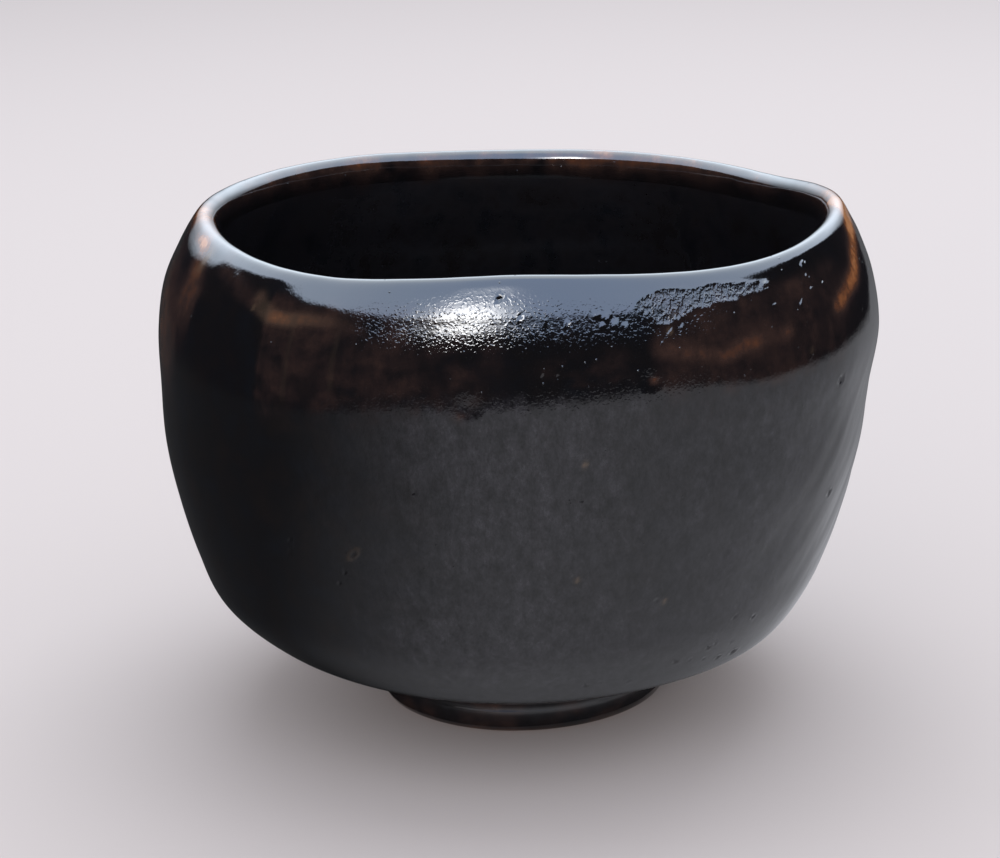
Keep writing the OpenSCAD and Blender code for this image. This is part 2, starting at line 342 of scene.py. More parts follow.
def skin_normal(u, a):
    """normal of the finished face, by small steps of about 0.12 mm"""
    u, a = np.broadcast_arrays(np.asarray(u, float), np.asarray(a, float))
    s = station(u)
    ds = np.maximum((arc(np.clip(u + 0.01, 0, MIDDLE)) - arc(np.clip(u - 0.01, 0, MIDDLE))) / 0.02, 0.5)
    eu = 0.12 / ds
    ea = 0.12 / np.maximum(s[..., 0], 2.0)
    du = skin(np.clip(u + eu, 0, MIDDLE), a) - skin(np.clip(u - eu, 0, MIDDLE), a)
    da = skin(u, a + ea) - skin(u, a - ea)
    n = np.cross(da, du)
    return n / np.maximum(np.linalg.norm(n, axis=-1, keepdims=True), 1e-12)


# ----------------------------------------------------------------------------
# Meshes
# ----------------------------------------------------------------------------
def columns(n):
    """bearings round the bowl, closer together towards the front"""
    t = np.linspace(-math.pi, math.pi, 7201)
    w = 1 + 1.5 * np.exp(-((np.degrees(t) + 88) / 62) ** 4)
    c = np.concatenate([[0], np.cumsum((w[1:] + w[:-1]) / 2)])
    c /= c[-1]
    return np.interp(np.arange(n) / n, c, t)


def rows(u0, u1, n, dense=None):
    """stations from u0 to u1, even along the arc, or with a closer stretch"""
    t = np.linspace(u0, u1, 2001)
    s = arc(t)
    w = np.ones_like(t) if dense is None else dense(t)
    c = np.concatenate([[0], np.cumsum(np.diff(s) * (w[1:] + w[:-1]) / 2)])
    return np.interp(np.linspace(0, c[-1], n), c, t)


class Grid:
    """collects rings of points, faces between them and normals for them"""

    def __init__(self):
        self.v, self.f, self.n, self.attr, self.count = [], [], [], {}, 0

    def ring_block(self, P, N=None, **attrs):
        R, C = P.shape[:2]
        start = self.count
        self.v.append(P.reshape(-1, 3))
        self.n.append((N if N is not None else np.zeros_like(P)).reshape(-1, 3))
        for k, val in attrs.items():
            self.attr.setdefault(k, []).append((start, val.reshape(-1)))
        self.count += R * C
        return start + np.arange(R * C).reshape(R, C)

    def strip(self, a, b):
        """quads between ring a and ring b, facing outwards when b is further along the profile"""
        a2, b2 = np.roll(a, -1), np.roll(b, -1)
        self.f.append(np.stack([a, a2, b2, b], 1))

    def block_faces(self, idx):
        for k in range(len(idx) - 1):
            self.strip(idx[k], idx[k + 1])


def build(name, verts, quads, tris, normals, attrs, material, flat_from=None):
    me = bpy.data.meshes.new(name)
    faces = [tuple(int(i) for i in q) for q in quads] + [tuple(int(i) for i in t) for t in tris]
    me.from_pydata((verts * MM).tolist(), [], faces)
    me.polygons.foreach_set("use_smooth", [True] * len(me.polygons))
    for k, val in attrs.items():
        at = me.attributes.new(k, "FLOAT", "POINT")
        at.data.foreach_set("value", np.ascontiguousarray(val, dtype=np.float32))
    me.update()
    if normals is not None:
        loops = np.zeros(len(me.loops), dtype=np.int32)
        me.loops.foreach_get("vertex_index", loops)
        fn = np.zeros(len(me.polygons) * 3, dtype=np.float32)
        me.polygons.foreach_get("normal", fn)
        fn = fn.reshape(-1, 3)
        tot = np.zeros(len(me.polygons), dtype=np.int32)
        me.polygons.foreach_get("loop_total", tot)
        lf = np.repeat(np.arange(len(me.polygons)), tot)
        ln = normals[loops].copy()
        # a corner keeps the given normal only where its face agrees with it
        agree = (ln * fn[lf]).sum(1)
        bad = (agree < 0.55) | (np.linalg.norm(ln, axis=1) < 0.5)
        ln[bad] = fn[lf][bad]
        me.normals_split_custom_set([tuple(map(float, x)) for x in ln])
    me.materials.append(material)
    ob = bpy.data.objects.new(name, me)
    scene.collection.objects.link(ob)
    return ob


def ring_coat(name, us, cols, material, back_depth, back_rows, attr_fn):
    """a closed coat of glaze that runs right round between two stations"""
    A, U = np.meshgrid(cols, us)
    P, N = skin(U, A), skin_normal(U, A)
    at = attr_fn(U, A, P)
    ub = us[np.linspace(len(us) - 1, 0, back_rows).round().astype(int)]
    A2, U2 = np.meshgrid(cols, ub)
    B = base(U2, A2, back_depth)
    if us[0] == 0:      # the lowest ring stays on the flat seat of the body
        B[-1, :, 2] = P[0, :, 2]
    verts = np.concatenate([P.reshape(-1, 3), B.reshape(-1, 3)])
    R, C = P.shape[:2]
    top = np.arange(R * C).reshape(R, C)
    bak = R * C + np.arange(len(ub) * C).reshape(len(ub), C)
    q = []
    allr = [top[k] for k in range(R)] + [bak[k] for k in range(len(ub))] + [top[0]]
    for a, b in zip(allr[:-1], allr[1:]):
        q.append(np.stack([a, np.roll(a, -1), np.roll(b, -1), b], 1))
    quads = np.concatenate(q)
    normals = np.concatenate([N.reshape(-1, 3), np.zeros((B.shape[0] * C, 3))])
    attrs = {k: np.concatenate([v.reshape(-1), np.zeros(B.shape[0] * C)]) for k, v in at.items()}
    return build(name, verts, quads, [], normals, attrs, material)


def bowl_fill(name, us, cols, material, back_depth, back_rows, attr_fn):
    """a closed coat that lines the inside, its rings thinning out towards the middle"""
    def surface(us, depth, up):
        """rings with fewer and fewer columns as the radius falls; returns the ring sizes and the stations and bearings
        of their points
        """
        rings, pu, pa = [], [], []
        c = cols
        for u in us:
            r = float(station(np.array(u))[0])
            while len(c) > 30 and 2 * math.pi * r / len(c) < 0.42:
                c = c[::2]
            rings.append(len(c))
            pu.append(np.full(len(c), u))
            pa.append(c)
        return rings, pu, pa
    rt, pu, pa = surface(us, 0, True)
    U, A = np.concatenate(pu), np.concatenate(pa)
    P, N = skin(U, A), skin_normal(U, A)
    at = attr_fn(U, A, P)
    ub = us[np.linspace(0, len(us) - 1, back_rows).round().astype(int)]
    rb, qu, qa = surface(ub, back_depth, False)
    B = base(np.concatenate(qu), np.concatenate(qa), back_depth)
    tip_t = skin(np.array([MIDDLE - 1e-4]), np.array([0.0]))
    tip_b = base(np.array([float(MIDDLE)]), np.array([0.0]), back_depth)
    verts = np.concatenate([P, B, tip_t, tip_b])
    quads, tris = [], []

    def zip_rings(start, sizes, flip):
        off = start
        for n0, n1 in zip(sizes[:-1], sizes[1:]):
            a = off + np.arange(n0)
            b = off + n0 + np.arange(n1)
            if n0 == n1:
                f = [a, np.roll(a, -1), np.roll(b, -1), b]
                quads.append(np.stack(f[::-1] if flip else f, 1))
            else:
                e, o, e2 = a[0::2], a[1::2], np.roll(a[0::2], -1)
                b2 = np.roll(b, -1)
                for t in ((e, o, b), (o, b2, b), (o, e2, b2)):
                    tris.append(np.stack(t[::-1] if flip else t, 1))
            off += n0
        return off + np.arange(sizes[-1])
    last = zip_rings(0, rt, False)
    tip = len(P) + len(B)
    tris.append(np.stack([last, np.roll(last, -1), np.full(len(last), tip)], 1))
    lastb = zip_rings(len(P), rb, True)
    tris.append(np.stack([np.full(len(lastb), tip + 1), np.roll(lastb, -1), lastb], 1))
    a, b = np.arange(rt[0]), len(P) + np.arange(rb[0])
    quads.append(np.stack([b, np.roll(b, -1), np.roll(a, -1), a], 1))
    normals = np.concatenate([N, np.zeros_like(B), [[0, 0, 1.0]], [[0, 0, 0]]])
    attrs = {k: np.concatenate([v.reshape(-1), np.zeros(len(B) + 2)]) for k, v in at.items()}
    return build(name, verts, np.concatenate(quads), np.concatenate(tris), normals, attrs, material)


# ----------------------------------------------------------------------------
# Where the glaze breaks brown, where it is dry, and where glints and a floor reflection are painted, as values on the
# surface
# ----------------------------------------------------------------------------
def spot(u, a, bearing, u0, wx, wy, lean=0.0):
    x, y = local(u, a, bearing, u0)
    return np.exp(-((x - lean * y) / wx) ** 2 - (y / wy) ** 2)


def between(v, lo, hi, s):
    return soft(lo - s, lo + s, v) * (1 - soft(hi - s, hi + s, v))


def marks(u, a, P):
    """amber 0 black, 0.12 dark brown, 0.3 reddish, 0.5 brown, 0.8 amber; pale (beige glaze, and painted glints by some
    pits), dry, grain and the grey bloom (partly a painted reflection of the floor) from 0 to 1
    """
    deg = np.degrees(a)
    n1, n2, n3 = fbm(P, 9, 21), fbm(P, 3.2, 25), fbm(P, 22, 31)
    n4 = fbm(P * np.array([1, 1, 0.3]), 4.0, 35)
    rag = n1 * 0.9 + n2 * 0.6
    amber = np.zeros_like(P[..., 0])
    # thin over the lip, most at its two ends
    n6 = noise(P, 4.5, 25)
    crest = bell(u - 13.6, 1.2)
    ends = 1.15 * bell(turn(deg, -172), 13) + 1.1 * bell(turn(deg, -10), 14)
    amber += bell(u - 14.5, 1.1) * bell(turn(deg, 95), 75) * np.clip(0.46 + 0.6 * rag, 0, 1)
    amber += crest * np.clip(0.04 + 0.60 * ends + 0.25 * rag, 0, 1)
    # runs from the lip on the right
    d, t = stroke(u, a, [(-13.0, 13.0), (-17.0, 12.5), (-22.0, 11.8), (-26.0, 11.15), (-29.5, 10.7), (-33.5, 10.45), (-37.5, 10.3)], 53)
    amber += np.exp(-(d / (2.3 - 1.1 * t + 0.5 * n6)) ** 2.6) * (1.02 - 0.64 * t) * np.clip(1 + 0.7 * n6, 0.3, 1.3)
    amber += 0.16 * bell(d, 3.6) * (1 - 0.5 * t)
    # broad brown fields below the shoulder, left and right of the black middle
    up = soft(8.1, 9.6, u + 0.5 * n2) * (1 - soft(11.3, 12.2, u))
    left = between(deg, -134.5, -93.0, 1.0) + 0.0
    left = soft(-134.6, -133.2, deg) * (1 - soft(-99.0, -88.0, deg))
    sd = deg + 1.6 * n2
    n5 = fbm(P * np.array([1, 1, 1.9]), 5.0, 44)
    seam = between(sd, -127.2, -121.0, 2.4) * (1 - soft(9.9, 10.7, u + 0.5 * n2)) * (0.35 + 0.9 * n1)
    amber += up * left * (0.145 - 0.045 * soft(-124, -116, deg) + 0.08 * n4 + 0.11 * n5 + 0.05 * n2) * (1 - 0.6 * np.clip(seam, 0, 1))
    rightf = soft(-72.6, -69.6, deg + 0.8 * n2) * (1 - soft(-40.0, -30.0, deg))
    amber += up * rightf * (0.120 + 0.09 * n4 + 0.08 * n5)
    amber += 0.10 * between(deg, -88.0, -74.0, 3.0) * between(u, 9.3, 10.3, 0.3) * np.clip(0.3 + 1.8 * n5 + n2, 0, 1)
    d, t = stroke(u, a, [(-70.6, 10.25), (-66.5, 10.12), (-60.5, 9.95), (-56.3, 10.10), (-49.0, 10.18)], 54)
    amber += bell(d, 1.15) * (0.19 - 0.06 * t) * np.clip(1 + 0.9 * n2, 0.2, 1.6) + 0.10 * bell(turn(deg, -56.3), 2.2) * bell(d, 1.2)
    amber += 0.05 * rightf * up * np.clip(2.2 * n2, 0, 1)
    # pale crescent on the left, crisp below and soft above
    d, t = stroke(u, a, [(-136.5, 11.34), (-135.3, 11.08), (-133.2, 10.90), (-130.0, 10.88), (-126.0, 10.96), (-120.5, 10.96), (-114.0, 10.80)], 54)
    cres = np.exp(-np.clip((d + 0.35 * n2) / (1.35 - 0.55 * t), 0, 9) ** 3) * (1 - soft(0.45, 1.0, t)) * (1 - 0.4 * soft(0.3, 0.0, t))
    amber += 0.27 * cres * np.clip(0.95 + 0.9 * n2, 0, 1.3)
    # reddish run at the far left, widening as it falls
    d, t = stroke(u, a, [(-158.5, 11.9), (-157.4, 11.2), (-157.0, 10.6), (-161.0, 9.8), (-164.0, 8.8)], 54)
    amber += bell(d, 2.4 + 3.2 * t) * (0.33 - 0.10 * t) * np.clip(1 + 0.9 * rag, 0.3, 1.5)
    amber += 0.38 * spot(u, a, -170.0, 9.8, 5.5, 8.5) * np.clip(1 + 0.7 * rag, 0.3, 1.5)
    amber += 0.16 * spot(u, a, -154.5, 10.4, 2.6, 5.0) * np.clip(1 + 0.7 * rag, 0.3, 1.5)
    # brown strip beside the beige spot
    d, t = stroke(u, a, [(-148.5, 12.1), (-145.0, 11.8), (-141.5, 11.5), (-138.0, 11.2)], 51)
    amber += 0.13 * bell(d, 2.2) * np.clip(1 + n2, 0, 1.5)
    amber += 0.75 * spot(u, a, -161.5, 12.35, 3.6, 1.0) + 0.45 * spot(u, a, -178.0, 12.9, 7.0, 1.6)
    # heart of the smaller dent, flecks in the larger one
    amber += 0.42 * spot(u, a, -71.4, 9.55, 0.62, 0.5) + 0.14 * spot(u, a, -97.8, 8.95, 1.7, 1.0) * np.clip(1 + 3 * n2, 0, 2)
    # the band low on the wall where the glaze thinned
    amber += (1 - soft(0.4, 2.6, u)) * np.clip(0.20 + 0.25 * rag, 0, 1)
    amber *= 1 - 0.97 * thick_left(u, a, P)
    # the wall away from the front: a few runs of its own
    for b, u0, wx, wy, s in ((150, 10.8, 6, 4, 0.38), (120, 11.4, 9, 2.2, 0.35), (62, 10.9, 7, 3.5, 0.42),
                             (30, 11.5, 10, 2, 0.32), (88, 9.9, 3, 7, 0.28), (175, 10.2, 3, 8, 0.30), (4, 10.8, 4, 5, 0.35)):
        amber += s * spot(u, a, b, u0, wx, wy, 0.3) * np.clip(0.8 + 1.4 * rag, 0, 1.3)
    back = soft(-2.0, 10.0, deg) * (1 - soft(172, 180, deg))
    amber += up * back * np.clip(0.08 + 0.16 * n1 + 0.1 * n4, 0, 0.3)
    m, hem = leaf(u, a, P)
    amber = amber * (1 - 0.6 * m) + m * np.clip(0.05 + 0.1 * n2, 0, 1)
    # olive seams
    seams = 0
    for b, s0, s1 in ((-127.7, 9.2, 10.6), (-119.3, 9.5, 10.55)):
        x, yy = local(u, a, b, 9.9)
        seams = seams + bell(x + 0.3 * noise(P, 4, 27), 0.36) * soft(s0 - 0.3, s0, u) * (1 - soft(s1, s1 + 0.3, u))
    pale = 0.62 * spot(u, a, -155.9, 11.88, 1.15, 1.9, 0.25) * np.clip(0.8 + 1.3 * n2, 0, 1) + 0.15 * cres + 0.04 * seams
    pale += 0.30 * spot(u, a, -137.2, 11.0, 0.35, 0.35)
    # painted glints: small pale spots beside a few pits stand in for highlights in them
    for b, u0, q in ((-80.8, 7.97, 0.45), (-81.0, 5.95, 0.35), (-66.0, 5.33, 0.35), (-68.4, 10.62, 0.4), (-45.2, 9.6, 0.15)):
        pale += q * spot(u, a, b, u0, 0.34, 0.42)
    x, y = local(u, a, -115.9, 6.36)
    xx, yy = x * 0.71 + y * 0.71, -x * 0.71 + y * 0.71
    pale += 0.09 * bell(np.hypot(xx / 1.25, yy / 0.55) - 1, 0.34) * (np.hypot(xx, yy) < 2.6)
    dry = m + 0.8 * (1 - soft(0.2, 1.2, u)) + 0.4 * np.clip(n3 - 0.28, 0, 1) * (1 - soft(8.5, 9.5, u))
    grain = 0.36 + 0.64 * between(u, 9.6, 12.2, 0.5) * soft(-121.0, -113.0, deg) * (1 - soft(-62, -52, deg))
    grain += 0.30 * spot(u, a, -97.8, 9.3, 2.0, 1.6) + 0.5 * bell(u - 9.25, 0.42) * soft(-136, -126, deg) * (1 - soft(-72, -58, deg))
    # a thin grey bloom over the black, partly real bloom and partly a painted reflection of the floor on the lower
    # wall, everywhere but the clean glossy left of the front
    haze = (1 - soft(8.95, 9.4, u + 0.4 * n2)) * np.clip(soft(-128, -98, deg) + soft(-168, -180, deg), 0, 1) * (0.80 + 0.7 * n3)
    return {"amber": np.clip(amber, 0, 1.2), "pale": np.clip(pale, 0, 1), "dry": np.clip(dry, 0, 1), "grain": np.clip(grain, 0, 1),
            "haze": np.clip(haze, 0, 1)}


# ----------------------------------------------------------------------------
# Materials
# ----------------------------------------------------------------------------
def mat(name):
    m = bpy.data.materials.new(name)
    m.use_nodes = True
    t = m.node_tree
    t.nodes.clear()
    return m, t


def link(t, a, b):
    t.links.new(a, b)


def node(t, kind, **kw):
    n = t.nodes.new(kind)
    for k, v in kw.items():
        if k in ("inputs",):
            for key, val in v.items():
                n.inputs[key].default_value = val
        else:
            setattr(n, k, v)
    return n


def ramp(t, src, stops, interp="LINEAR"):
    r = t.nodes.new("ShaderNodeValToRGB")
    r.color_ramp.interpolation = interp
    e = r.color_ramp.elements
    while len(e) < len(stops):
        e.new(0.5)
    for k, (p, c) in enumerate(stops):
        e[k].position = p
        e[k].color = c if len(c) == 4 else (*c, 1)
    link(t, src, r.inputs[0])
    return r


def mathn(t, op, a, b=None, clamp=False):
    n = t.nodes.new("ShaderNodeMath")
    n.operation = op
    n.use_clamp = clamp
    for k, v in enumerate((a, b)):
        if v is None:
            continue
        if hasattr(v, "links") or isinstance(v, bpy.types.NodeSocket):
            link(t, v, n.inputs[k])
        else:
            n.inputs[k].default_value = v
    return n.outputs[0]


def noise_tex(t, vec, size_mm, detail=2.0, rough=0.5, lac=2.0):
    n = t.nodes.new("ShaderNodeTexNoise")
    n.inputs["Scale"].default_value = 1000.0 / size_mm
    n.inputs["Detail"].default_value = detail
    n.inputs["Roughness"].default_value = rough
    n.inputs["Lacunarity"].default_value = lac
    link(t, vec, n.inputs["Vector"])
    return n.outputs["Fac"]


def mix_rgb(t, fac, a, b):
    n = t.nodes.new("ShaderNodeMix")
    n.data_type = "RGBA"
    n.blend_type = "MIX"
    for key, v in ((0, fac), (6, a), (7, b)):
        if isinstance(v, bpy.types.NodeSocket):
            link(t, v, n.inputs[key])
        else:
            n.inputs[key].default_value = v if not isinstance(v, tuple) else (*v, 1)
    return n.outputs[2]


def bump(t, height, dist_mm, normal=None, strength=1.0):
    b = t.nodes.new("ShaderNodeBump")
    b.inputs["Strength"].default_value = strength
    b.inputs["Distance"].default_value = dist_mm * MM
    link(t, height, b.inputs["Height"])
    if normal is not None:
        link(t, normal, b.inputs["Normal"])
    return b.outputs["Normal"]


def glaze(name, black=(0.0040, 0.0041, 0.0050), rough=0.06, peel=1.0, ior=1.62):
    """black glaze that breaks amber where it is thin; peel scales its leathery skin"""
    m, t = mat(name)
    out = t.nodes.new("ShaderNodeOutputMaterial")
    p = t.nodes.new("ShaderNodeBsdfPrincipled")
    link(t, p.outputs[0], out.inputs[0])
    co = t.nodes.new("ShaderNodeTexCoord").outputs["Object"]
    amber = node(t, "ShaderNodeAttribute", attribute_name="amber").outputs["Fac"]
    pale = node(t, "ShaderNodeAttribute", attribute_name="pale").outputs["Fac"]
    dry = node(t, "ShaderNodeAttribute", attribute_name="dry").outputs["Fac"]
    grain = node(t, "ShaderNodeAttribute", attribute_name="grain").outputs["Fac"]
    haze = node(t, "ShaderNodeAttribute", attribute_name="haze").outputs["Fac"]
    up = t.nodes.new("ShaderNodeMapping")
    up.inputs["Scale"].default_value = (1.0, 1.0, 0.30)
    link(t, co, up.inputs["Vector"])
    fine = noise_tex(t, co, 0.9, 3.0, 0.65)
    mid = noise_tex(t, co, 6.0, 4.0, 0.6)
    streak = noise_tex(t, up.outputs[0], 1.5, 3.0, 0.6)
    # amber broken up by fine mottling, with an upright grain
    f = mathn(t, "MULTIPLY", mathn(t, "SUBTRACT", fine, 0.5), mathn(t, "MULTIPLY", amber, 0.8))
    f = mathn(t, "ADD", f, mathn(t, "MULTIPLY", mathn(t, "SUBTRACT", streak, 0.5), mathn(t, "MULTIPLY", amber, 0.7)))
    f = mathn(t, "ADD", f, amber, clamp=True)
    col = ramp(t, f, [(0.0, black), (0.12, (0.0112, 0.0080, 0.0084)), (0.30, (0.031, 0.0185, 0.0158)),
                      (0.50, (0.072, 0.031, 0.0180)), (0.75, (0.21, 0.082, 0.032)), (1.0, (0.46, 0.215, 0.095))]).outputs[0]
    # faint blue-grey and brown drift in the black itself
    drift = ramp(t, mid, [(0.30, (0.0042, 0.0050, 0.0070)), (0.5, black), (0.72, (0.0062, 0.0052, 0.0054))]).outputs[0]
    isblack = mathn(t, "SUBTRACT", 1.0, mathn(t, "MULTIPLY", f, 9.0), clamp=True)
    col = mix_rgb(t, isblack, col, drift)
    # grey bloom: partly real bloom, partly a painted reflection of the floor on the lower wall
    up2 = t.nodes.new("ShaderNodeMapping")
    up2.inputs["Scale"].default_value = (1.0, 1.0, 0.62)
    link(t, co, up2.inputs["Vector"])
    bloom = ramp(t, noise_tex(t, up2.outputs[0], 2.0, 4.5, 0.92), [(0.30, (0.0004, 0.0004, 0.0005)), (0.42, (0.0060, 0.0060, 0.0074)), (0.56, (0.0150, 0.0154, 0.0190)), (0.74, (0.032, 0.033, 0.041))]).outputs[0]
    col = mix_rgb(t, mathn(t, "MULTIPLY", haze, mathn(t, "SUBTRACT", 1.0, mathn(t, "MULTIPLY", f, 3.0), clamp=True)), col, bloom)
    # pale beige glaze, and painted glints beside a few pits
    col = mix_rgb(t, mathn(t, "MULTIPLY", pale, 1.0, clamp=True), col, (0.165, 0.122, 0.080))
    link(t, col, p.inputs["Base Color"])
    # gloss: a little uneven, duller where it crawled
    r = mathn(t, "ADD", rough - 0.02, mathn(t, "MULTIPLY", mid, 0.04))
    r = mathn(t, "ADD", r, mathn(t, "MULTIPLY", dry, 0.19))
    r = mathn(t, "ADD", r, mathn(t, "MULTIPLY", pale, 0.2), clamp=True)
    link(t, r, p.inputs["Roughness"])
    p.inputs["IOR"].default_value = ior
    # leathery skin in three scales, and scattered pin bubbles
    calm = mathn(t, "SUBTRACT", 1.0, mathn(t, "MULTIPLY", grain, 0.6))
    nrm = bump(t, mathn(t, "MULTIPLY", noise_tex(t, co, 2.2, 2.0, 0.5), calm), 0.030 * peel)
    pimple = mathn(t, "MULTIPLY", mathn(t, "SUBTRACT", noise_tex(t, co, 0.42, 1.0, 0.5), 0.50), 3.0, clamp=True)
    g2 = mathn(t, "MULTIPLY", pimple, mathn(t, "MULTIPLY", grain, grain))
    nrm = bump(t, g2, 0.018 * peel, nrm)
    nrm = bump(t, noise_tex(t, co, 0.34, 0.0, 0.5), 0.0035 * peel, nrm)
    v = t.nodes.new("ShaderNodeTexVoronoi")
    v.inputs["Scale"].default_value = 1000.0 / 1.9
    v.inputs["Randomness"].default_value = 1.0
    link(t, co, v.inputs["Vector"])
    pin = mathn(t, "SUBTRACT", 1.0, mathn(t, "MULTIPLY", v.outputs["Distance"], 12.0), clamp=True)
    pin = mathn(t, "MULTIPLY", pin, mathn(t, "GREATER_THAN", noise_tex(t, co, 3.0, 0.0), 0.54))
    nrm = bump(t, pin, 0.085, nrm)
    # crumpled skin inside the crawled patch: fine sharp ridges
    sc = t.nodes.new("ShaderNodeMapping")
    sc.inputs["Scale"].default_value = (1.0, 1.0, 0.42)
    sc.inputs["Rotation"].default_value = (0.0, 0.45, 0.0)
    link(t, co, sc.inputs["Vector"])
    rg = mathn(t, "ABSOLUTE", mathn(t, "SUBTRACT", noise_tex(t, sc.outputs[0], 0.85, 2.0, 0.5), 0.5))
    rg = mathn(t, "SUBTRACT", 1.0, mathn(t, "MULTIPLY", rg, 7.0), clamp=True)
    nrm = bump(t, mathn(t, "MULTIPLY", rg, dry), 0.075, nrm)
    link(t, nrm, p.inputs["Normal"])
    return m


def clay(name):
    """bare smoked low-fired clay: matte, gritty"""
    m, t = mat(name)
    out = t.nodes.new("ShaderNodeOutputMaterial")
    p = t.nodes.new("ShaderNodeBsdfPrincipled")
    link(t, p.outputs[0], out.inputs[0])
    co = t.nodes.new("ShaderNodeTexCoord").outputs["Object"]
    a, b = noise_tex(t, co, 4.0, 5.0, 0.6), noise_tex(t, co, 0.7, 3.0, 0.6)
    col = ramp(t, a, [(0.3, (0.075, 0.052, 0.042)), (0.5, (0.135, 0.095, 0.072)), (0.7, (0.215, 0.155, 0.118))]).outputs[0]
    grit = ramp(t, b, [(0.55, (0, 0, 0)), (0.72, (1, 1, 1))]).outputs[0]
    col = mix_rgb(t, mathn(t, "MULTIPLY", grit, 0.35), col, (0.34, 0.27, 0.21))
    link(t, col, p.inputs["Base Color"])
    link(t, mathn(t, "ADD", 0.72, mathn(t, "MULTIPLY", b, 0.2)), p.inputs["Roughness"])
    nrm = bump(t, a, 0.25)
    nrm = bump(t, b, 0.09, nrm)
    link(t, nrm, p.inputs["Normal"])
    return m


M_OUT = glaze("black_glaze_outer")
M_LIP = glaze("black_glaze_lip", peel=0.7, rough=0.055)
# the inside is the same black glaze with its black lifted and its gloss lowered: painted light, so the inside reads
# lighter
M_IN = glaze("black_glaze_inner", black=(0.0100, 0.0100, 0.0125), rough=0.20, peel=0.5, ior=1.35)
M_FOOT = glaze("black_glaze_foot", rough=0.09, peel=0.7)
M_CLAY = clay("fired_clay_bare")


# ----------------------------------------------------------------------------
# Pieces
# ----------------------------------------------------------------------------
NCOL = 480
COLS = columns(NCOL)
outer = ring_coat("outer_glaze_coat", rows(0, SHOULDER, 178), COLS, M_OUT, 0.75, 22, marks)
lip = ring_coat("lip_glaze_coat", rows(SHOULDER, THROAT, 34), COLS, M_LIP, 0.75, 9, marks)
inner = bowl_fill("inner_glaze_coat", rows(THROAT, MIDDLE - 0.12, 118), COLS, M_IN, 0.75, 30, marks)


def lathe(name, profile, ncol, material, centre, wob, attrs=None, spin=None):
    """a closed hand-turned ring from a closed profile [(radius, height)], slightly uneven"""
    prof = np.array(profile, float)
    a = np.linspace(-math.pi, math.pi, ncol, endpoint=False)
    A, K = np.meshgrid(a, np.arange(len(prof)))
    r, z = prof[K, 0], prof[K, 1]
    Pm = np.stack([r * np.cos(A), r * np.sin(A), z], -1)
    dr, dz = wob(r, z, A, Pm)
    r = np.maximum(r + dr, 0)
    z = z + dz
    cx = centre(z)
    P = np.stack([cx + r * np.cos(A), r * np.sin(A), z], -1)
    n = len(prof)
    idx = np.arange(n * ncol).reshape(n, ncol)
    quads = []
    for k in range(n):
        i, j = idx[k], idx[(k + 1) % n]
        quads.append(np.stack([i, np.roll(i, -1), np.roll(j, -1), j], 1))
    at = {k: np.full(n * ncol, v) if np.isscalar(v) else v(A, P).reshape(-1) for k, v in (attrs or {}).items()}
    return build(name, P.reshape(-1, 3), np.concatenate(quads), [], None, at, material)


def smooth_profile(points, step):
    """Catmull-Rom through points, evenly resampled"""
    p = np.array(points, float)
    q = np.vstack([2 * p[0] - p[1], p, 2 * p[-1] - p[-2]])
    out = []
    for i in range(len(p) - 1):
        a, b, c, d = q[i:i + 4]
        n = max(2, int(np.hypot(*(c - b)) / step))
        t = np.linspace(0, 1, n, endpoint=False)[:, None]
        out.append(0.5 * (2 * b + (c - a) * t + (2 * a - 5 * b + 4 * c - d) * t * t + (3 * b - a - 3 * c + d) * t ** 3))
    out.append(p[-1:])
    return np.vstack(out)


def seat_shift(z):
    return -0.4 * (1 - soft(5.2, 5.8, z))


def foot_wob(r, z, A, P):
    k = soft(0.0, 1.6, z) * (1 - soft(5.0, 5.7, z))
    w = 0.10 * np.cos(2 * A + 0.6) + 0.06 * np.sin(3 * A) + 0.16 * noise(P, 9, 41) + 0.04 * noise(P, 3.5, 42)
    return w * (0.35 + 0.65 * k) * soft(8, 15, r) * (1 - soft(5.0, 5.7, z)), 0.06 * noise(P, 6, 43) * k * soft(8, 15, r)


# clay of the foot: outer side up to its seat, web with a small boss, inner side, resting land
clay_prof = np.vstack([
    smooth_profile([(21.9, 0.0), (22.55, 0.12), (22.95, 0.6), (23.2, 2.0), (23.5, 4.0), (23.75, 5.8)], 0.35),
    np.array([[20.0, 5.8], [15.0, 5.8], [10.0, 5.8], [5.0, 5.8], [0.35, 5.8]]),
    smooth_profile([(0.35, 3.62), (1.6, 3.85), (4.2, 4.6), (6.4, 4.9), (11.0, 4.9), (16.6, 4.88), (17.7, 4.1), (18.15, 2.0), (18.45, 0.6), (19.2, 0.0)], 0.35)])
foot_clay = lathe("foot_clay", clay_prof, 300, M_CLAY, seat_shift, foot_wob)
glaze_prof = np.vstack([
    smooth_profile([(22.75, 0.26), (23.15, 0.42), (23.62, 1.2), (23.98, 2.4), (24.05, 3.5), (23.86, 4.5), (23.95, 5.2), (24.45, 5.72), (24.85, 5.86)], 0.22),
    np.array([[24.0, 5.8]]),
    smooth_profile([(23.7, 5.3), (23.45, 3.6), (23.15, 1.6), (22.75, 0.5)], 0.6)])
foot_coat = lathe("foot_glaze_outer", glaze_prof, 300, M_FOOT, seat_shift, foot_wob,
                  {"amber": lambda A, P: np.clip(0.10 + 0.30 * fbm(P, 5, 51) + 0.25 * (1 - soft(0.4, 1.0, P[..., 2])), 0, 1),
                   "pale": 0.0, "dry": 0.0, "grain": 0.25, "haze": 0.3})
